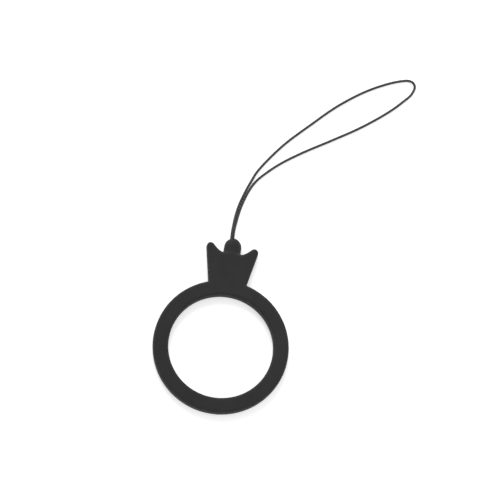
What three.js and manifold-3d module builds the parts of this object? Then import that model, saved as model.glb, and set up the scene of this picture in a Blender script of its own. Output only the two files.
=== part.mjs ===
// A silicone phone lanyard, in millimetres: a soft finger ring with a small crown moulded on it,
// and a thin cord loop that is hitched to a phone. It lies flat on its back, +Z up, crown towards +Y.

import * as THREE from "three";
import { mergeVertices } from "three/addons/utils/BufferGeometryUtils.js";
import Module from "manifold-3d";

// The finger ring
const FINGER_HOLE_DIAMETER = 29.4;
const BAND_WIDTH = 4.3;
const BODY_THICKNESS = 3.4;
const EDGE_RADIUS = 0.8;

// The crown's plate, across from its middle and up from the ring's outer edge
const CROWN_LEAN_DEG = 2.9;
const CROWN_FOOT_WIDTH = 10.6;
const SPIKE_SPREAD = 12.5; // between the centres of the two round tips
const SPIKE_TIP_HEIGHT = 9.35; // of those centres
const SPIKE_TIP_RADIUS = 1.15;
const SPIKE_INNER_SLOPE_DEG = 47;
const VALLEY_HEIGHT = 8.15;

// The rounded finial between the spikes, which holds the ends of the cord
const FINIAL_WIDTH = 4.8;
const FINIAL_THICKNESS = 3.2;
const FINIAL_HEIGHT = 12.9;
const FINIAL_DOME_HEIGHT = 2.8;
const FINIAL_ROOT_DEPTH = 2.5; // how far it goes down into the plate, below the valleys

// The cord, its knot and the hole that they sit in
const CORD_DIAMETER = 0.65;
const STRAND_SPACING = 0.71; // between the two strands where they leave the finial
const STRAND_ROLL_DEG = 42; // one strand lies above and to the left of the other by this angle
const CORD_HOLE_OFFSET = -0.55; // from the crown's middle
const KNOT_DIAMETER = 1.9;
const KNOT_TURNS = 3;
const KNOT_TURN_HEIGHT = 0.8;
const KNOT_DEPTH = 3.5; // from the finial's top to the knot
const CLEARANCE = 0.25; // around the cord and its knot
const CORD_END_GAP = 0.3; // between the strands' ends and the knot
const CORD_LYING_GAP = 0.02; // between the lying cord and the surface

// How finely round forms are divided
const RING_SEGMENTS = 96;
const ARC_STEP_DEG = 15;
const EDGE_STEPS = 4;
const ROUND_SEGMENTS = 32;
const HOLE_SEGMENTS = 20;
const CORD_SIDES = 8;
const CORD_STEPS = 80;

const holeRadius = FINGER_HOLE_DIAMETER / 2;
const ringRadius = holeRadius + BAND_WIDTH;
const midHeight = BODY_THICKNESS / 2;
const cordRadius = CORD_DIAMETER / 2;
const radians = THREE.MathUtils.degToRad;

// The free length of the cord, from the finial round the loop and back, as it lies on the surface.
// Each point is [across, along, lift] from the hole's mouth: lift is 1 at the mouth's height and
// 0 where the cord lies down.
const CORD_ROUTE = [
  [-0.26, 0.4, 1.17],
  [-0.22, 2.0, 1.13],
  [-0.07, 3.8, 0.94],
  [0.15, 5.85, 0.57],
  [0.45, 7.8, 0.15],
  [0.85, 9.8, 0.03],
  [1.55, 12.2, 0],
  [2.5, 14.9, 0],
  [3.75, 17.95, 0],
  [5.19, 21.08, 0],
  [8.05, 25.26, 0],
  [12.61, 30.83, 0],
  [19.53, 37.61, 0],
  [26.71, 44.24, 0],
  [34.61, 49.89, 0],
  [41.02, 53.18, 0],
  [45.03, 54.6, 0],
  [47.1, 54.95, 0],
  [48.5, 54.47, 0],
  [49.05, 53.15, 0],
  [48.2, 50.75, 0],
  [45.99, 48.23, 0],
  [41.89, 44.36, 0],
  [34.02, 38.46, 0],
  [25.79, 33.38, 0],
  [17.55, 28.48, 0],
  [11.66, 24.43, 0],
  [8.08, 21.33, 0],
  [5.35, 18.45, 0],
  [3.62, 15.55, 0],
  [2.33, 12.25, 0],
  [1.58, 9.7, 0.01],
  [1.14, 7.7, 0.04],
  [0.8, 5.75, 0.31],
  [0.48, 3.8, 0.63],
  [0.31, 2.0, 0.8],
  [0.27, 0.4, 0.83],
];

const silicone = new THREE.MeshStandardMaterial({
  color: 0x363637,
  roughness: 0.7,
  metalness: 0,
});
const cordFibre = new THREE.MeshStandardMaterial({
  color: 0x2b2b2c,
  roughness: 0.85,
  metalness: 0,
});

const wasm = await Module();
wasm.setup();

// A closed geometry as a solid that can be joined and cut
function solidOf(geometry) {
  const bare = geometry.clone();
  bare.deleteAttribute("normal");
  bare.deleteAttribute("uv");
  const merged = mergeVertices(bare, 1e-4);
  return new wasm.Manifold(
    new wasm.Mesh({
      numProp: 3,
      vertProperties: new Float32Array(merged.attributes.position.array),
      triVerts: new Uint32Array(merged.index.array),
    }),
  );
}

// A joined or cut solid as a geometry again
function geometryOf(solid) {
  const { vertProperties, triVerts } = solid.getMesh();
  const geometry = new THREE.BufferGeometry();
  geometry.setAttribute("position", new THREE.BufferAttribute(vertProperties, 3));
  geometry.setIndex(new THREE.BufferAttribute(triVerts, 1));
  geometry.computeVertexNormals();
  return geometry;
}

function arcPoints(centreX, centreY, radius, fromDeg, toDeg, steps) {
  const points = [];
  for (let i = 0; i <= steps; i++) {
    const angle = radians(fromDeg + ((toDeg - fromDeg) * i) / steps);
    points.push(
      new THREE.Vector2(
        centreX + radius * Math.cos(angle),
        centreY + radius * Math.sin(angle),
      ),
    );
  }
  return points;
}

// The crown leans a little about the middle of its foot, on the ring's outer edge
function placeOnRing(point) {
  return point
    .clone()
    .rotateAround(new THREE.Vector2(), -radians(CROWN_LEAN_DEG))
    .add(new THREE.Vector2(0, ringRadius));
}

// One spike from its side's foot over its round tip to the middle of the crown, for the right side
function spikeOutline() {
  const foot = new THREE.Vector2(CROWN_FOOT_WIDTH / 2, 0);
  const tip = new THREE.Vector2(SPIKE_SPREAD / 2, SPIKE_TIP_HEIGHT);
  const reach = tip.clone().sub(foot);
  const sideAngle = reach.angle() - Math.asin(SPIKE_TIP_RADIUS / reach.length());
  const sideDeg = THREE.MathUtils.radToDeg(sideAngle);
  const innerDeg = 90 + SPIKE_INNER_SLOPE_DEG;
  const tipSteps = Math.ceil((innerDeg - sideDeg + 90) / ARC_STEP_DEG);
  const tipArc = arcPoints(tip.x, tip.y, SPIKE_TIP_RADIUS, sideDeg - 90, innerDeg, tipSteps);

  // The inner edge leaves the tip along its slope and flattens out at the finial's foot
  const slope = radians(SPIKE_INNER_SLOPE_DEG);
  const top = tipArc[tipArc.length - 1];
  const bend = new THREE.Vector2(
    top.x - (top.y - VALLEY_HEIGHT) / Math.tan(slope),
    VALLEY_HEIGHT,
  );
  const valley = new THREE.Vector2(FINIAL_WIDTH / 2, VALLEY_HEIGHT);
  if (bend.x < valley.x) bend.x = valley.x;
  const inner = new THREE.QuadraticBezierCurve(top, bend, valley).getPoints(6);
  return { foot, sideAngle, edge: [...tipArc, ...inner.slice(1)] };
}

// Where the crown's side meets the ring's outer edge
function footOnRing(foot, sideAngle) {
  const start = placeOnRing(foot);
  const angle = sideAngle - radians(CROWN_LEAN_DEG);
  const along = new THREE.Vector2(Math.cos(angle), Math.sin(angle));
  const half = start.dot(along);
  const root = Math.sqrt(half * half - start.lengthSq() + ringRadius * ringRadius);
  return start.addScaledVector(along, root - half);
}

// The ring and the crown's plate are one moulding with one outline and rounded edges
function mouldedBody() {
  const spike = spikeOutline();
  const right = footOnRing(spike.foot, spike.sideAngle);
  const left = footOnRing(
    new THREE.Vector2(-spike.foot.x, spike.foot.y),
    Math.PI - spike.sideAngle,
  );
  const fromDeg = THREE.MathUtils.radToDeg(left.angle());
  const toDeg = THREE.MathUtils.radToDeg(right.angle()) + 360;
  const ringSteps = Math.ceil(((toDeg - fromDeg) / 360) * RING_SEGMENTS);
  const mirrored = spike.edge.map((p) => new THREE.Vector2(-p.x, p.y)).reverse();
  const outline = [
    ...arcPoints(0, 0, ringRadius, fromDeg, toDeg, ringSteps),
    ...[...spike.edge, ...mirrored].map(placeOnRing),
  ];
  const shape = new THREE.Shape(outline);
  const hole = arcPoints(0, 0, holeRadius, 0, 360, RING_SEGMENTS).slice(0, -1);
  shape.holes.push(new THREE.Path(hole));

  const edge = Math.min(
    EDGE_RADIUS,
    0.45 * BODY_THICKNESS,
    0.45 * BAND_WIDTH,
    0.9 * SPIKE_TIP_RADIUS,
  );
  const geometry = new THREE.ExtrudeGeometry(shape, {
    depth: BODY_THICKNESS - 2 * edge,
    steps: 1,
    bevelEnabled: true,
    bevelThickness: edge,
    bevelSize: edge,
    bevelOffset: -edge,
    bevelSegments: EDGE_STEPS,
  });
  return geometry.translate(0, 0, edge);
}

// Turned forms in the crown stand on its middle line, so their length runs up the crown
function turnedInCrown(profile, segments, offset, flatten = 1) {
  const points = profile.map(([radius, height]) => new THREE.Vector2(radius, height));
  const geometry = new THREE.LatheGeometry(points, segments);
  geometry.scale(1, 1, flatten);
  geometry.translate(offset, 0, 0);
  geometry.rotateZ(-radians(CROWN_LEAN_DEG));
  return geometry.translate(0, ringRadius, midHeight);
}

function finial() {
  const radius = FINIAL_WIDTH / 2;
  const root = VALLEY_HEIGHT - FINIAL_ROOT_DEPTH;
  const shoulder = FINIAL_HEIGHT - FINIAL_DOME_HEIGHT;
  const profile = [
    [0, root],
    [radius, root],
  ];
  for (let i = 0; i < 8; i++) {
    const angle = radians((90 * i) / 8);
    profile.push([radius * Math.cos(angle), shoulder + FINIAL_DOME_HEIGHT * Math.sin(angle)]);
  }
  profile.push([0, FINIAL_HEIGHT]);
  return turnedInCrown(profile, ROUND_SEGMENTS, 0, FINIAL_THICKNESS / FINIAL_WIDTH);
}

// The knot is pulled into a few tight turns, each a round bulge on the one before
const knotTop = FINIAL_HEIGHT - KNOT_DEPTH;
const knotLength = KNOT_TURNS * KNOT_TURN_HEIGHT;
const knotBottom = knotTop - knotLength;

function knot() {
  const bulge = KNOT_TURN_HEIGHT / 2;
  const core = KNOT_DIAMETER / 2 - bulge;
  const profile = [[0, knotBottom]];
  for (let turn = 0; turn < KNOT_TURNS; turn++) {
    const middle = knotBottom + (turn + 0.5) * KNOT_TURN_HEIGHT;
    for (let i = turn === 0 ? 0 : 1; i <= 6; i++) {
      const angle = radians(-90 + 30 * i);
      profile.push([core + bulge * Math.cos(angle), middle + bulge * Math.sin(angle)]);
    }
  }
  profile.push([0, knotTop]);
  return turnedInCrown(profile, HOLE_SEGMENTS, CORD_HOLE_OFFSET);
}

// The pocket fits the knot, and a narrower bore brings the two strands up to the finial's top
function cordHole() {
  const pocket = KNOT_DIAMETER / 2 + CLEARANCE;
  const bore = (STRAND_SPACING + CORD_DIAMETER) / 2 + CLEARANCE;
  const above = FINIAL_HEIGHT + 1;
  const profile = [
    [0, knotBottom - CLEARANCE],
    [pocket, knotBottom - CLEARANCE],
    [pocket, knotTop + CLEARANCE],
    [bore, knotTop + CLEARANCE],
    [bore, above],
    [0, above],
  ];
  return turnedInCrown(profile, HOLE_SEGMENTS, CORD_HOLE_OFFSET);
}

// A place in the crown, given across and up from its foot, and its height above the surface
function inCrown(across, up, height) {
  const place = placeOnRing(new THREE.Vector2(across, up));
  return new THREE.Vector3(place.x, place.y, height);
}

function cordCurve() {
  const mouth = inCrown(CORD_HOLE_OFFSET, FINIAL_HEIGHT, midHeight);
  const lying = cordRadius + CORD_LYING_GAP;
  const free = CORD_ROUTE.map(
    ([across, along, lift]) =>
      new THREE.Vector3(
        mouth.x + across,
        mouth.y + along,
        THREE.MathUtils.lerp(lying, mouth.z, lift),
      ),
  );
  const side = (STRAND_SPACING / 2) * Math.cos(radians(STRAND_ROLL_DEG));
  const rise = (STRAND_SPACING / 2) * Math.sin(radians(STRAND_ROLL_DEG));
  const end = knotTop + CORD_END_GAP;
  const first = inCrown(CORD_HOLE_OFFSET - side, end, midHeight + rise);
  const last = inCrown(CORD_HOLE_OFFSET + side, end, midHeight - rise);
  return new THREE.CatmullRomCurve3([first, ...free, last], false, "centripetal");
}

function cord() {
  const section = new THREE.Shape(
    arcPoints(0, 0, cordRadius, 0, 360, CORD_SIDES).slice(0, -1),
  );
  return new THREE.ExtrudeGeometry(section, {
    steps: CORD_STEPS,
    bevelEnabled: false,
    extrudePath: cordCurve(),
  });
}

function namedMesh(name, geometry, material) {
  const mesh = new THREE.Mesh(geometry, material);
  mesh.name = name;
  return mesh;
}

const body = solidOf(mouldedBody())
  .add(solidOf(finial()))
  .subtract(solidOf(cordHole()));

const lanyard = new THREE.Group();
lanyard.add(
  namedMesh("ring_and_crown", geometryOf(body), silicone),
  namedMesh("cord_knot", knot(), cordFibre),
  namedMesh("cord_loop", cord(), cordFibre),
);

// The origin is under the middle of the silicone's box, so the ring's centre lies below it
const box = new THREE.Box3().setFromObject(lanyard.getObjectByName("ring_and_crown"));
const middle = box.getCenter(new THREE.Vector3());
lanyard.children.forEach((mesh) => mesh.position.set(-middle.x, -middle.y, -box.min.z));

export default lanyard;
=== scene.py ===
# The looks of a silicone phone lanyard: a soft finger ring with a small crown, and its cord loop.
# Metres, +Z up, the crown towards +Y, lying on its back on a white surface.

import math

import bpy
import numpy as np
from mathutils import Matrix, Vector


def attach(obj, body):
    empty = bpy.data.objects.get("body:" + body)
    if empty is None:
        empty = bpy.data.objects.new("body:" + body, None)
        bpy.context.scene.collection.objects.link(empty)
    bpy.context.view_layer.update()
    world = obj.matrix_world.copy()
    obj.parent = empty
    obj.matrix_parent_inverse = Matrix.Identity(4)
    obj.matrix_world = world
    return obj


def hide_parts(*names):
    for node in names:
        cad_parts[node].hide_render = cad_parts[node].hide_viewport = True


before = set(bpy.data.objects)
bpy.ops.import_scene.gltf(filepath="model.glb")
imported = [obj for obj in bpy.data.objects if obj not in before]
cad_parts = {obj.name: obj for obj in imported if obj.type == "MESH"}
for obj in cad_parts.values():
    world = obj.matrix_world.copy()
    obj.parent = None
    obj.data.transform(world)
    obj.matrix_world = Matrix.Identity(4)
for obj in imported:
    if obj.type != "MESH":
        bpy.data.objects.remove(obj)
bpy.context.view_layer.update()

MM = 0.001
BODY = "root"

# The silicone moulding, as the solids have it
RING_CENTRE_Y = -6.41 * MM
HOLE_RADIUS = 14.7 * MM
BAND_WIDTH = 4.3 * MM
THICKNESS = 3.4 * MM
EDGE_RADIUS = 0.8 * MM
CROWN_LEAN = math.radians(2.9)
FOOT_HALF_WIDTH = 5.3 * MM
TIP_ACROSS = 6.25 * MM
TIP_UP = 9.35 * MM
TIP_RADIUS = 1.15 * MM
INNER_SLOPE = math.radians(47)
VALLEY_UP = 8.15 * MM
FINIAL_RADIUS = 2.4 * MM
FINIAL_THICKNESS = 3.2 * MM
FINIAL_UP = 12.9 * MM
FINIAL_DOME = 2.8 * MM
FINIAL_ROOT_UP = 5.65 * MM
CORNER_FILLET = 0.45 * MM
FINIAL_FILLET = 0.7 * MM
TIP_ARC_POINTS = 16
VALLEY_POINTS = 12

# The cord, its hole and its knot
CORD_DIAMETER = 0.65 * MM
STRAND_SPACING = 0.71 * MM
STRAND_ROLL = math.radians(42)
HOLE_ACROSS = -0.55 * MM
KNOT_DEPTH = 3.5 * MM
KNOT_LENGTH = 2.4 * MM
KNOT_RADIUS = 0.95 * MM
CORD_END_GAP = 0.3 * MM
CORD_HOLE_SLACK = 0.05 * MM
LIP_SOFTNESS = 0.12 * MM

RING_RADIUS = HOLE_RADIUS + BAND_WIDTH
MID_HEIGHT = THICKNESS / 2
CORD_RADIUS = CORD_DIAMETER / 2

# The photograph's camera, fitted to the ring's two ovals and the crown
LENS_MM = 135
SENSOR_MM = 36
CAMERA_AZIMUTH = math.radians(-11.1)
CAMERA_ELEVATION = math.radians(72.8)
CAMERA_ROLL = math.radians(17.28)
CAMERA_DISTANCE = 533.85 * MM
CAMERA_TARGET = Vector((5.56 * MM, 23.19 * MM, 0))
CAMERA_NEAR = 0.01
CAMERA_FAR = 20

# The white surface that the lanyard lies on
FLOOR_HALF = 3.0
FLOOR_WHITE = (0.9, 0.9, 0.9)
FLOOR_GLOW = 0.4  # for the camera and for glosses only

# The free cord, as [across, along, lift] from the hole's mouth: lift is 1 at the mouth's height
# and 0 where the cord lies down. Across and along are in millimetres.
CORD_ROUTE = [
    [-0.26, 0.4, 1.17],
    [-0.22, 2.0, 1.13],
    [-0.07, 3.8, 0.94],
    [0.15, 5.85, 0.57],
    [0.45, 7.8, 0.15],
    [0.85, 9.8, 0.03],
    [1.55, 12.2, 0],
    [2.5, 14.9, 0],
    [3.75, 17.95, 0],
    [5.19, 21.08, 0],
    [8.05, 25.26, 0],
    [12.61, 30.83, 0],
    [19.53, 37.61, 0],
    [26.71, 44.24, 0],
    [34.61, 49.89, 0],
    [41.02, 53.18, 0],
    [45.03, 54.6, 0],
    [47.1, 54.95, 0],
    [48.5, 54.47, 0],
    [49.05, 53.15, 0],
    [48.2, 50.75, 0],
    [45.99, 48.23, 0],
    [41.89, 44.36, 0],
    [34.02, 38.46, 0],
    [25.79, 33.38, 0],
    [17.55, 28.48, 0],
    [11.66, 24.43, 0],
    [8.08, 21.33, 0],
    [5.35, 18.45, 0],
    [3.62, 15.55, 0],
    [2.33, 12.25, 0],
    [1.58, 9.7, 0.01],
    [1.14, 7.7, 0.04],
    [0.8, 5.75, 0.31],
    [0.48, 3.8, 0.63],
    [0.31, 2.0, 0.8],
    [0.27, 0.4, 0.83],
]


def in_crown(across, up):
    """A place in the crown, measured across from its middle and up from the ring's outer edge."""
    cos, sin = math.cos(CROWN_LEAN), math.sin(CROWN_LEAN)
    return np.array(
        [across * cos + up * sin, RING_CENTRE_Y + RING_RADIUS - across * sin + up * cos]
    )


def add_camera():
    data = bpy.data.cameras.new("photo_camera")
    data.lens = LENS_MM
    data.sensor_width = SENSOR_MM
    data.clip_start = CAMERA_NEAR
    data.clip_end = CAMERA_FAR
    camera = bpy.data.objects.new("photo_camera", data)
    bpy.context.scene.collection.objects.link(camera)
    sin_a, cos_a = math.sin(CAMERA_AZIMUTH), math.cos(CAMERA_AZIMUTH)
    sin_e, cos_e = math.sin(CAMERA_ELEVATION), math.cos(CAMERA_ELEVATION)
    back = Vector((sin_a * cos_e, -cos_a * cos_e, sin_e))
    right = Vector((0, 0, 1)).cross(back).normalized()
    up = back.cross(right)
    turned_right = right * math.cos(CAMERA_ROLL) + up * math.sin(CAMERA_ROLL)
    turned_up = up * math.cos(CAMERA_ROLL) - right * math.sin(CAMERA_ROLL)
    axes = Matrix((turned_right, turned_up, back)).transposed().to_4x4()
    camera.matrix_world = Matrix.Translation(CAMERA_TARGET + back * CAMERA_DISTANCE) @ axes
    bpy.context.scene.camera = camera


def mesh_object(name, points, faces, smooth=True):
    mesh = bpy.data.meshes.new(name)
    mesh.from_pydata([tuple(p) for p in points], [], [tuple(f) for f in faces])
    mesh.validate()
    mesh.polygons.foreach_set("use_smooth", [smooth] * len(mesh.polygons))
    mesh.update()
    piece = bpy.data.objects.new(name, mesh)
    bpy.context.scene.collection.objects.link(piece)
    return piece


def add_value(piece, name, values):
    """Keeps one number for each point of a piece, for its material to read."""
    layer = piece.data.attributes.new(name, "FLOAT", "POINT")
    layer.data.foreach_set("value", np.asarray(values, np.float32))


# The cord

STRAND_SIDE = STRAND_SPACING / 2 * math.cos(STRAND_ROLL)
STRAND_RISE = STRAND_SPACING / 2 * math.sin(STRAND_ROLL)
CORD_MOUTH = np.array([*in_crown(HOLE_ACROSS, FINIAL_UP), MID_HEIGHT])
BRAID_STRANDS = 4  # that wind each way
BRAID_PITCH = 3.6 * MM  # the length in which a strand goes once round
BRAID_CREST = 1.13  # of the cord's radius
BRAID_DEPTH = 0.24  # of the cord's radius
BRAID_DIP = 0.4  # how far a strand sinks where it goes under, as a share of the depth
SPAN_STEPS = 60  # of the curve between two points of the route
RING_STEP = 0.1 * MM
RING_POINTS = 32


def cord_points():
    """The route's points: out of the hole, round the loop and back into the hole. The cord lies
    on the crests of its braid."""
    lying = CORD_RADIUS * BRAID_CREST
    end_up = FINIAL_UP - KNOT_DEPTH + CORD_END_GAP
    first = [*in_crown(HOLE_ACROSS - STRAND_SIDE, end_up), MID_HEIGHT + STRAND_RISE]
    last = [*in_crown(HOLE_ACROSS + STRAND_SIDE, end_up), MID_HEIGHT - STRAND_RISE]
    free = [
        [
            CORD_MOUTH[0] + across * MM,
            CORD_MOUTH[1] + along * MM,
            lying + lift * (CORD_MOUTH[2] - lying),
        ]
        for across, along, lift in CORD_ROUTE
    ]
    return np.array([first, *free, last])


def smooth_curve(points, step):
    """A centripetal Catmull-Rom curve through the points, at even steps along it."""
    ends = np.array([2 * points[0] - points[1], *points, 2 * points[-1] - points[-2]])
    dense = []
    for a, b, c, d in zip(ends, ends[1:], ends[2:], ends[3:]):
        spans = [np.linalg.norm(q - p) ** 0.5 for p, q in ((a, b), (b, c), (c, d))]
        t0, t1, t2, t3 = np.cumsum([0] + spans)
        t = np.linspace(t1, t2, SPAN_STEPS, endpoint=False)[:, None]
        ab = (t1 - t) / (t1 - t0) * a + (t - t0) / (t1 - t0) * b
        bc = (t2 - t) / (t2 - t1) * b + (t - t1) / (t2 - t1) * c
        cd = (t3 - t) / (t3 - t2) * c + (t - t2) / (t3 - t2) * d
        abc = (t2 - t) / (t2 - t0) * ab + (t - t0) / (t2 - t0) * bc
        bcd = (t3 - t) / (t3 - t1) * bc + (t - t1) / (t3 - t1) * cd
        dense.append((t2 - t) / (t2 - t1) * abc + (t - t1) / (t2 - t1) * bcd)
    dense = np.vstack([*dense, points[-1:]])
    along = np.r_[0, np.cumsum(np.linalg.norm(np.diff(dense, axis=0), axis=1))]
    even = np.linspace(0, along[-1], int(round(along[-1] / step)) + 1)
    return np.stack([np.interp(even, along, dense[:, k]) for k in range(3)], 1), along[-1]


def carried_frames(line):
    """Two directions across the line at each point, carried along it without turning about it."""
    tangent = np.gradient(line, axis=0)
    tangent /= np.linalg.norm(tangent, axis=1)[:, None]
    normal = np.cross(tangent[0], [0, 0, 1])
    normals = []
    for t in tangent:
        normal = normal - np.dot(normal, t) * t
        normal = normal / np.linalg.norm(normal)
        normals.append(normal)
    normals = np.array(normals)
    return normals, np.cross(tangent, normals)


def braid(angle, along):
    """How high the braid stands, from 0 between its strands to 1 on top of one, and the place
    across and along the strand that is on top."""
    turn = along / BRAID_PITCH
    places = [BRAID_STRANDS * (angle / (2 * np.pi) + way * turn) for way in (1, -1)]
    heights = []
    for way, (own, other) in zip((1, -1), (places, places[::-1])):
        nearest = np.round(own)
        crest = np.sqrt(np.clip(1 - (2 * (own - nearest)) ** 2, 0, 1))
        over = 0.5 + 0.5 * way * np.cos(np.pi * (other + nearest))
        heights.append(crest * (1 - BRAID_DIP + BRAID_DIP * over))
    rising_on_top = heights[0] > heights[1]
    return (
        np.where(rising_on_top, *heights),
        np.where(rising_on_top, *places),
        np.where(rising_on_top, *places[::-1]),
    )


def fibre_places(corner_points, along):
    """Where each face corner of the cord lies across and along the strand on top there."""
    ring, spot = corner_points // RING_POINTS, corner_points % RING_POINTS
    corner = np.arange(len(spot))
    on_side = corner < 4 * RING_POINTS * (len(along) - 1)
    in_last_column = corner // 4 % RING_POINTS == RING_POINTS - 1
    closes_ring = on_side & in_last_column & (spot == 0)
    turned = 2 * np.pi * (spot / RING_POINTS + closes_ring)
    return np.stack(braid(turned, along[ring])[1:], 1)


def add_cord():
    line, length = smooth_curve(cord_points(), RING_STEP)
    across, up = carried_frames(line)
    along = np.linspace(0, length, len(line))
    angle = np.linspace(0, 2 * np.pi, RING_POINTS, endpoint=False)
    angles, alongs = np.meshgrid(angle, along)
    relief = braid(angles, alongs)[0]
    radius = CORD_RADIUS * (BRAID_CREST - BRAID_DEPTH * (1 - relief))
    points = (
        line[:, None]
        + (radius * np.cos(angles))[..., None] * across[:, None]
        + (radius * np.sin(angles))[..., None] * up[:, None]
    )
    count = len(line)
    faces = [
        (
            i * RING_POINTS + j,
            i * RING_POINTS + (j + 1) % RING_POINTS,
            (i + 1) * RING_POINTS + (j + 1) % RING_POINTS,
            (i + 1) * RING_POINTS + j,
        )
        for i in range(count - 1)
        for j in range(RING_POINTS)
    ]
    faces.append(range(RING_POINTS - 1, -1, -1))
    faces.append([(count - 1) * RING_POINTS + j for j in range(RING_POINTS)])
    piece = mesh_object("braided_cord_loop", points.reshape(-1, 3), faces)
    add_value(piece, "relief", relief.ravel())
    corner_points = np.empty(len(piece.data.loops), np.int64)
    piece.data.loops.foreach_get("vertex_index", corner_points)
    layer = piece.data.uv_layers.new(name="fibres")
    layer.data.foreach_set("uv", fibre_places(corner_points, along).astype(np.float32).ravel())
    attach(piece, BODY)
    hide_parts("cord_loop")
    return piece


# The silicone moulding, as a smooth distance field that is drawn over with even quads

GRID_STEP = 0.18 * MM
GRID_MARGIN = 0.6 * MM
SEAM_PROUD = 0.05 * MM
SEAM_HALF_WIDTH = 0.1 * MM
WALL_TILT = 0.35  # the most that a wall's normal points up or down
NO_SEAM_REACH = 1.2  # of the knot's radius, round the hole
FINIAL_SLOPE = 0.7  # brings the slope of the finial's squashed field near one
PULL_ROUNDS = 4
PULL_LIMIT = 0.3  # of the grid's step, in one round
SLOPE_STEP = 0.01 * MM
LEAST_SLOPE_SQUARED = 0.05
TINY = 1e-12


def spike_edge():
    """The right side of the crown's plate, from its foot over the tip to the finial."""
    foot = np.array([FOOT_HALF_WIDTH, 0])
    tip = np.array([TIP_ACROSS, TIP_UP])
    reach = tip - foot
    side = math.atan2(reach[1], reach[0]) - math.asin(TIP_RADIUS / np.linalg.norm(reach))
    turn = np.linspace(side - math.pi / 2, math.pi / 2 + INNER_SLOPE, TIP_ARC_POINTS)
    tip_arc = tip + TIP_RADIUS * np.stack([np.cos(turn), np.sin(turn)], 1)
    top = tip_arc[-1]
    bend = np.array([top[0] - (top[1] - VALLEY_UP) / math.tan(INNER_SLOPE), VALLEY_UP])
    valley = np.array([FINIAL_RADIUS, VALLEY_UP])
    t = np.linspace(0, 1, VALLEY_POINTS + 1)[1:, None]
    inner = (1 - t) ** 2 * top + 2 * t * (1 - t) * bend + t**2 * valley
    root = foot - reach / reach[1] * BAND_WIDTH / 2
    return np.vstack([root, tip_arc, inner])


def outline_distance(points, outline):
    """How far points lie outside a closed outline, below zero inside it."""
    nearest = np.full(len(points), np.inf)
    inside = np.zeros(len(points), bool)
    for a, b in zip(outline, np.roll(outline, -1, axis=0)):
        edge = b - a
        reach = points - a
        share = np.clip(reach @ edge / (edge @ edge), 0, 1)
        nearest = np.minimum(nearest, ((reach - share[:, None] * edge) ** 2).sum(1))
        spans = (a[1] > points[:, 1]) != (b[1] > points[:, 1])
        if a[1] != b[1]:
            crossing = a[0] + (points[:, 1] - a[1]) * edge[0] / edge[1]
            inside ^= spans & (points[:, 0] < crossing)
    return np.where(inside, -1, 1) * np.sqrt(nearest)


def smooth_union(a, b, reach):
    """Joins two fields with a fillet of about the given reach."""
    share = np.clip(0.5 + 0.5 * (b - a) / reach, 0, 1)
    return b + (a - b) * share - reach * share * (1 - share)


def smooth_cut(a, b, reach):
    """Takes field b out of field a, with a softened edge."""
    return -smooth_union(-a, b, reach)


def crown_frame(points):
    """Points as across, up and height from the middle of the crown's foot, at mid height."""
    cos, sin = math.cos(CROWN_LEAN), math.sin(CROWN_LEAN)
    x, y = points[:, 0], points[:, 1] - RING_CENTRE_Y - RING_RADIUS
    return x * cos - y * sin, x * sin + y * cos, points[:, 2] - MID_HEIGHT


def capsule(across, up, height, middle, low, high, radius):
    """Distance from a round-ended rod that runs up the crown."""
    beyond = up - np.clip(up, low, high)
    sideways = np.hypot(across - middle[0], height - middle[1])
    return np.hypot(sideways, beyond) - radius


def finial_distance(across, up, height):
    """Distance from the finial, a flattened rod with a domed top."""
    flat = FINIAL_RADIUS / (FINIAL_THICKNESS / 2)
    shoulder = FINIAL_UP - FINIAL_DOME
    over = np.where(up > shoulder, (up - shoulder) * FINIAL_RADIUS / FINIAL_DOME, 0)
    under = np.where(up < FINIAL_ROOT_UP, up - FINIAL_ROOT_UP, 0)
    round_part = np.sqrt(across**2 + (height * flat) ** 2 + over**2 + under**2)
    return (round_part - FINIAL_RADIUS) * FINIAL_SLOPE


def silicone_distance(points):
    """The moulding's surface is where this is zero; it is below zero in the silicone."""
    across, up, height = crown_frame(points)
    from_centre = np.hypot(points[:, 0], points[:, 1] - RING_CENTRE_Y)
    band = np.abs(from_centre - HOLE_RADIUS - BAND_WIDTH / 2) - BAND_WIDTH / 2
    right = spike_edge()
    outline = np.vstack([right, right[::-1] * [-1, 1]])
    plate = outline_distance(np.stack([across, up], 1), outline)
    flat = smooth_union(band, plate, CORNER_FILLET)
    sideways = flat + EDGE_RADIUS
    upright = np.abs(height) - (THICKNESS / 2 - EDGE_RADIUS)
    outside = np.hypot(np.maximum(sideways, 0), np.maximum(upright, 0))
    slab = outside + np.minimum(np.maximum(sideways, upright), 0) - EDGE_RADIUS
    body = smooth_union(slab, finial_distance(across, up, height), FINIAL_FILLET)
    body = np.maximum(body, np.abs(height) - THICKNESS / 2)
    knot_top = FINIAL_UP - KNOT_DEPTH
    past_mouth = FINIAL_UP + MM
    strand_hole = CORD_RADIUS + CORD_HOLE_SLACK
    for side in (-1, 1):
        middle = (HOLE_ACROSS + side * STRAND_SIDE, -side * STRAND_RISE)
        strand = capsule(across, up, height, middle, knot_top, past_mouth, strand_hole)
        body = smooth_cut(body, strand, LIP_SOFTNESS)
    low, high = knot_top - KNOT_LENGTH + KNOT_RADIUS, knot_top - KNOT_RADIUS
    pocket_hole = KNOT_RADIUS + CORD_HOLE_SLACK
    pocket = capsule(across, up, height, (HOLE_ACROSS, 0), low, high, pocket_hole)
    return smooth_cut(body, pocket, LIP_SOFTNESS)


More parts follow.
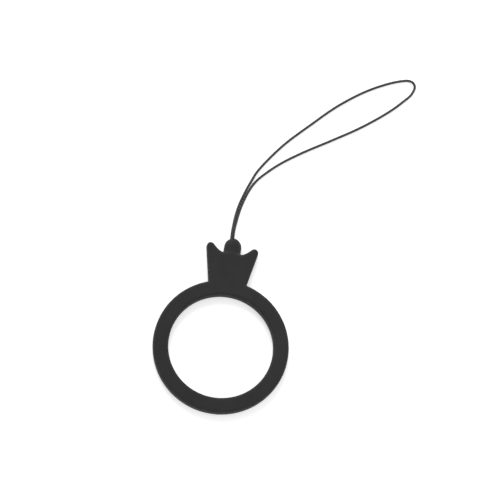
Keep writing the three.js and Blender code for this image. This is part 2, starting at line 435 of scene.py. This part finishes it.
def pull_to_surface(points, field):
    """Moves points straight onto the field's zero surface, and gives its normals."""
    steps = SLOPE_STEP * np.eye(3)
    for _ in range(PULL_ROUNDS):
        value = field(points)
        slope = np.stack([(field(points + step) - value) / SLOPE_STEP for step in steps], 1)
        size = (slope**2).sum(1)
        move = slope * (value / np.maximum(size, LEAST_SLOPE_SQUARED))[:, None]
        reach = np.linalg.norm(move, axis=1)
        limit = np.minimum(1, PULL_LIMIT * GRID_STEP / np.maximum(reach, TINY))
        points = points - move * limit[:, None]
    return points, slope / np.sqrt(np.maximum(size, TINY))[:, None]


def surface_nets(field, low, counts):
    """Draws even quads over the zero surface of a field that is sampled on a grid."""
    axes = [low[k] + GRID_STEP * np.arange(counts[k]) for k in range(3)]
    grid = np.stack(np.meshgrid(*axes, indexing="ij"), -1).reshape(-1, 3)
    value = field(grid).reshape(counts)
    inside = value < 0
    cells = tuple(n - 1 for n in counts)
    total = np.zeros((*cells, 3))
    hits = np.zeros(cells)
    edges = []
    for axis in range(3):
        others = [k for k in range(3) if k != axis]
        near = [slice(None)] * 3
        far = [slice(None)] * 3
        near[axis], far[axis] = slice(None, -1), slice(1, None)
        a, b = value[tuple(near)], value[tuple(far)]
        crossed = np.argwhere((a < 0) != (b < 0))
        at = tuple(crossed.T)
        share = a[at] / (a[at] - b[at])
        spot = crossed.astype(float)
        spot[:, axis] += share
        edges.append((axis, others, crossed, inside[tuple(near)][at]))
        for i in (0, 1):
            for j in (0, 1):
                cell = crossed.copy()
                cell[:, others[0]] -= i
                cell[:, others[1]] -= j
                real = (cell >= 0).all(1) & (cell < cells).all(1)
                index = tuple(cell[real].T)
                np.add.at(total, index, spot[real])
                np.add.at(hits, index, 1)
    used = np.argwhere(hits > 0)
    number = np.full(cells, -1)
    number[tuple(used.T)] = np.arange(len(used))
    points = total[tuple(used.T)] / hits[tuple(used.T)][:, None] * GRID_STEP + low
    faces = []
    for axis, others, crossed, starts_inside in edges:
        corners = []
        for i, j in ((0, 0), (1, 0), (1, 1), (0, 1)):
            cell = crossed.copy()
            cell[:, others[0]] -= i
            cell[:, others[1]] -= j
            corners.append(number[tuple(cell.T)])
        quads = np.stack(corners, 1)
        forward = starts_inside if axis != 1 else ~starts_inside
        quads[~forward] = quads[~forward][:, ::-1]
        faces.append(quads)
    return points, np.vstack(faces)


def add_silicone():
    top = RING_CENTRE_Y + RING_RADIUS + FINIAL_UP
    low = np.array([-RING_RADIUS, RING_CENTRE_Y - RING_RADIUS, 0]) - GRID_MARGIN
    high = np.array([RING_RADIUS, top, THICKNESS]) + GRID_MARGIN
    counts = [int(math.ceil(n)) + 1 for n in (high - low) / GRID_STEP]
    # One row of cells has its middle at mid height, where the mould's halves met
    rows_below = math.ceil((MID_HEIGHT + GRID_MARGIN) / GRID_STEP)
    low[2] = MID_HEIGHT - (rows_below + 0.5) * GRID_STEP
    counts[2] = 2 * rows_below + 2
    points, faces = surface_nets(silicone_distance, low, tuple(counts))
    points, normals = pull_to_surface(points, silicone_distance)
    tilt = np.abs(normals[:, 2])
    across, up, height = crown_frame(points)
    seam = (tilt < WALL_TILT) * np.exp(-((height / SEAM_HALF_WIDTH) ** 2))
    by_hole = np.abs(across - HOLE_ACROSS) < KNOT_RADIUS * NO_SEAM_REACH
    seam[by_hole & (up > FINIAL_ROOT_UP)] = 0
    points = points + normals * (SEAM_PROUD * seam)[:, None]
    piece = mesh_object("silicone_ring_and_crown", points, faces)
    add_value(piece, "rounding", np.clip(4 * tilt * (1 - tilt), 0, 1))
    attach(piece, BODY)
    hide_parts("ring_and_crown")
    return piece


# Materials


def new_material(name):
    material = bpy.data.materials.new(name)
    material.use_nodes = True
    nodes = material.node_tree.nodes
    return material, nodes, material.node_tree.links, nodes["Principled BSDF"]


def noise(nodes, links, vector, scale, detail, roughness):
    node = nodes.new("ShaderNodeTexNoise")
    node.inputs["Scale"].default_value = scale
    node.inputs["Detail"].default_value = detail
    node.inputs["Roughness"].default_value = roughness
    links.new(vector, node.inputs["Vector"])
    return node.outputs["Fac"]


def ramp(nodes, links, value, stops):
    node = nodes.new("ShaderNodeValToRGB")
    links.new(value, node.inputs["Fac"])
    elements = node.color_ramp.elements
    while len(elements) < len(stops):
        elements.new(0.5)
    for element, (place, colour) in zip(elements, stops):
        element.position = place
        element.color = (*colour, 1)
    return node.outputs["Color"]


def spread(nodes, links, value, low, high, from_low=0.0, from_high=1.0):
    node = nodes.new("ShaderNodeMapRange")
    node.inputs["From Min"].default_value = from_low
    node.inputs["From Max"].default_value = from_high
    node.inputs["To Min"].default_value = low
    node.inputs["To Max"].default_value = high
    links.new(value, node.inputs["Value"])
    return node.outputs["Result"]


def bump(nodes, links, height, distance, strength, under=None):
    node = nodes.new("ShaderNodeBump")
    node.inputs["Distance"].default_value = distance
    node.inputs["Strength"].default_value = strength
    links.new(height, node.inputs["Height"])
    if under is not None:
        links.new(under, node.inputs["Normal"])
    return node.outputs["Normal"]


def reckoned(nodes, links, operation, *values):
    """The result of a sum on sockets and plain numbers."""
    node = nodes.new("ShaderNodeMath")
    node.operation = operation
    for value, socket in zip(values, node.inputs):
        if isinstance(value, (int, float)):
            socket.default_value = value
        else:
            links.new(value, socket)
    return node.outputs["Value"]


def stored_value(nodes, name):
    node = nodes.new("ShaderNodeAttribute")
    node.attribute_name = name
    return node.outputs["Fac"]


def mixed(nodes, links, share, first, second):
    node = nodes.new("ShaderNodeMix")
    node.data_type = "RGBA"
    links.new(share, node.inputs["Factor"])
    links.new(first, node.inputs["A"])
    node.inputs["B"].default_value = (*second, 1)
    return node.outputs["Result"]


SILICONE_DEEP = (0.0150, 0.0150, 0.0160)
SILICONE_PALE = (0.0200, 0.0200, 0.0212)
SILICONE_WORN = (0.030, 0.030, 0.031)
WORN_SMOOTHER = -0.14  # what full wear adds to the roughness


def silicone_material():
    """Matte dark silicone: faint cloudy bloom, fine moulded grain, and edges rubbed smoother."""
    material, nodes, links, shader = new_material("matte_charcoal_silicone")
    place = nodes.new("ShaderNodeTexCoord").outputs["Object"]
    bloom = noise(nodes, links, place, scale=90, detail=4, roughness=0.6)
    cloudy = ramp(nodes, links, bloom, [(0.3, SILICONE_DEEP), (0.7, SILICONE_PALE)])
    rub = noise(nodes, links, place, scale=700, detail=4, roughness=0.65)
    patches = spread(nodes, links, rub, low=0.1, high=1, from_low=0.34, from_high=0.7)
    wear = reckoned(nodes, links, "MULTIPLY", stored_value(nodes, "rounding"), patches)
    colour = mixed(nodes, links, wear, cloudy, SILICONE_WORN)
    links.new(colour, shader.inputs["Base Color"])
    handling = noise(nodes, links, place, scale=260, detail=3, roughness=0.55)
    dull = spread(nodes, links, handling, low=0.56, high=0.76)
    rough = reckoned(nodes, links, "MULTIPLY_ADD", wear, WORN_SMOOTHER, dull)
    links.new(rough, shader.inputs["Roughness"])
    shader.inputs["IOR"].default_value = 1.41
    shader.inputs["Specular IOR Level"].default_value = 0.22
    shader.inputs["Sheen Weight"].default_value = 0.02
    shader.inputs["Sheen Roughness"].default_value = 0.6
    ripple = noise(nodes, links, place, scale=330, detail=2, roughness=0.5)
    grain = noise(nodes, links, place, scale=6500, detail=4, roughness=0.7)
    soft = bump(nodes, links, ripple, distance=0.05 * MM, strength=0.6)
    fine = bump(nodes, links, grain, distance=0.06 * MM, strength=0.9, under=soft)
    links.new(fine, shader.inputs["Normal"])
    return material


NYLON_DEEP = (0.012, 0.012, 0.0125)
NYLON_PALE = (0.027, 0.027, 0.028)
# painted shade, for the grooves between the braid's strands
NYLON_PAINTED_SHADE = (0.007, 0.007, 0.0075)
FIBRES_ON_BRAID = (9, 0.9, 1)  # across and along a strand
FIBRES_ON_KNOT = (9000, 900, 9000)  # in a metre


def nylon_material(name, place, scale, relief=None):
    """Near-black nylon whose fibres run along the strands, with painted shade down between them.
    """
    material, nodes, links, shader = new_material(name)
    stretch = nodes.new("ShaderNodeMapping")
    stretch.inputs["Scale"].default_value = scale
    links.new(nodes.new("ShaderNodeTexCoord").outputs[place], stretch.inputs["Vector"])
    fibres = noise(nodes, links, stretch.outputs["Vector"], scale=1, detail=3, roughness=0.6)
    colour = ramp(nodes, links, fibres, [(0.3, NYLON_DEEP), (0.72, NYLON_PALE)])
    if relief:
        # Painted shade: the nylon is darkened down between the strands, where the braid's relief
        # is low
        raised = stored_value(nodes, relief)
        down = spread(nodes, links, raised, low=1, high=0, from_low=0.1, from_high=0.75)
        colour = mixed(nodes, links, down, colour, NYLON_PAINTED_SHADE)
    links.new(colour, shader.inputs["Base Color"])
    links.new(spread(nodes, links, fibres, low=0.42, high=0.66), shader.inputs["Roughness"])
    shader.inputs["Specular IOR Level"].default_value = 0.35
    shader.inputs["Sheen Weight"].default_value = 0.08
    shader.inputs["Sheen Roughness"].default_value = 0.5
    fuzz = bump(nodes, links, fibres, distance=0.02 * MM, strength=0.7)
    links.new(fuzz, shader.inputs["Normal"])
    return material


def seen_rays(nodes, links):
    """One for the rays that show the background: straight to the camera or by way of a gloss."""
    rays = nodes.new("ShaderNodeLightPath").outputs
    seen = rays["Is Camera Ray"]
    for kind in ("Is Glossy Ray", "Is Transmission Ray"):
        seen = reckoned(nodes, links, "MAXIMUM", seen, rays[kind])
    return seen


def white_material(name, colour, glow):
    """A pale surface that fills the view with white and still takes the object's shadow."""
    material, nodes, links, shader = new_material(name)
    shader.inputs["Base Color"].default_value = (*colour, 1)
    shader.inputs["Roughness"].default_value = 0.9
    shader.inputs["Specular IOR Level"].default_value = 0.1
    shader.inputs["Emission Color"].default_value = (1, 1, 1, 1)
    seen = reckoned(nodes, links, "MULTIPLY", seen_rays(nodes, links), glow)
    links.new(seen, shader.inputs["Emission Strength"])
    return material


def paint(piece, material):
    piece.data.materials.clear()
    piece.data.materials.append(material)


# Surroundings


def add_floor():
    signs = ((-1, -1), (1, -1), (1, 1), (-1, 1))
    corners = [(FLOOR_HALF * x, FLOOR_HALF * y, 0) for x, y in signs]
    floor = mesh_object("floor", corners, [(0, 1, 2, 3)], smooth=False)
    paint(floor, white_material("white_paper", FLOOR_WHITE, FLOOR_GLOW))


def add_lamp(name, place, size, watts):
    data = bpy.data.lights.new(name, "AREA")
    data.shape = "DISK"
    data.size = size
    data.energy = watts
    lamp = bpy.data.objects.new(name, data)
    lamp.location = place
    lamp.rotation_euler = (-Vector(place)).to_track_quat("-Z", "Y").to_euler()
    bpy.context.scene.collection.objects.link(lamp)


def add_light():
    scene = bpy.context.scene
    scene.view_settings.view_transform = "Standard"
    world = bpy.data.worlds.new("studio")
    world.use_nodes = True
    scene.world = world
    nodes, links = world.node_tree.nodes, world.node_tree.links
    soft = nodes["Background"]
    soft.inputs["Color"].default_value = (1, 1, 1, 1)
    soft.inputs["Strength"].default_value = 0.65
    seen = nodes.new("ShaderNodeBackground")
    seen.inputs["Color"].default_value = (1, 1, 1, 1)
    seen.inputs["Strength"].default_value = 1
    mix = nodes.new("ShaderNodeMixShader")
    links.new(seen_rays(nodes, links), mix.inputs["Fac"])
    links.new(soft.outputs["Background"], mix.inputs[1])
    links.new(seen.outputs["Background"], mix.inputs[2])
    links.new(mix.outputs["Shader"], nodes["World Output"].inputs["Surface"])
    add_lamp("key", place=(-0.2, 0.65, 0.6), size=0.6, watts=4.8)
    add_lamp("fill", place=(0.45, -0.3, 0.7), size=0.6, watts=1.0)


add_camera()
add_light()
add_floor()
paint(add_cord(), nylon_material("braided_nylon", "UV", FIBRES_ON_BRAID, "relief"))
paint(add_silicone(), silicone_material())
paint(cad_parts["cord_knot"], nylon_material("knotted_nylon", "Object", FIBRES_ON_KNOT))
